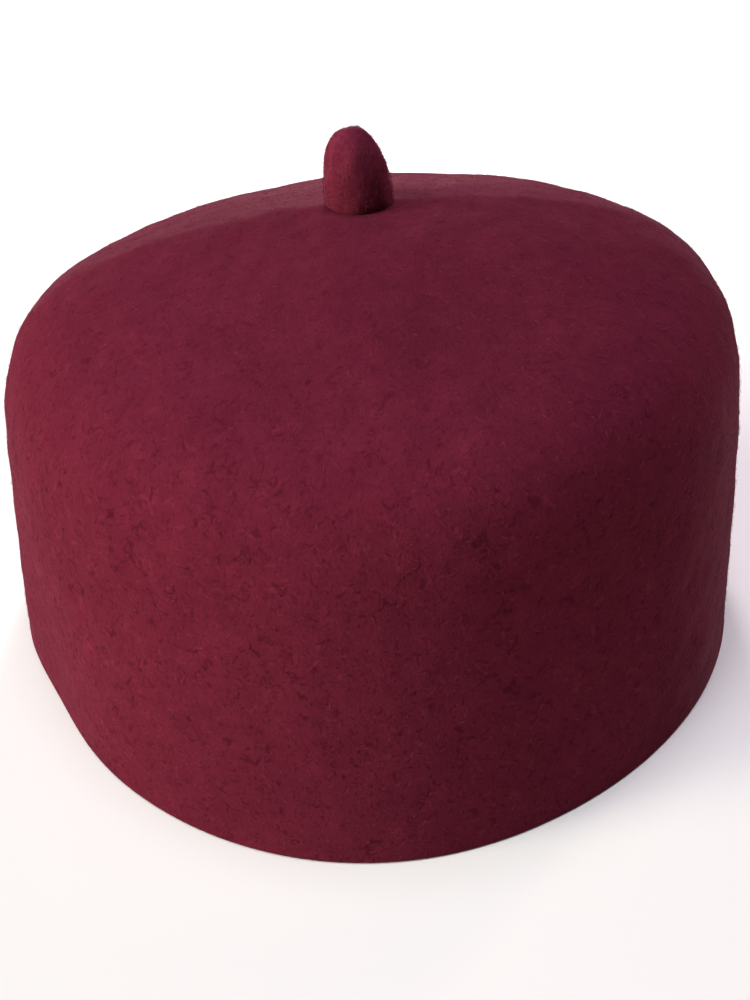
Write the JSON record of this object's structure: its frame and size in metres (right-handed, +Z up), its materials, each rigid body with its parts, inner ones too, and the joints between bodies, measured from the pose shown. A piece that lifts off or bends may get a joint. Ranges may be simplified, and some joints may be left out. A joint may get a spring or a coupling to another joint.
{
  "type": "kufi",
  "caption": "Brimless round cap of blocked maroon wool felt, hollow and open below, with a soft shoulder, a low top softly creased across its middle and a small felt stem there.",
  "frame": {"origin": "middle of the crown's box on the plane of the cut rim, where the cap rests", "axes": "+Z up through the stem, +X along the rim's longest width, -Y towards the side that the picture shows"},
  "size_m": [0.1968, 0.1866, 0.1186],
  "materials": {
    "felt": "matte wool felt with a fine nap, maroon"
  },
  "bodies": {
    "root": {"crown": "felt", "stem": "felt"}
  },
  "joints": []
}
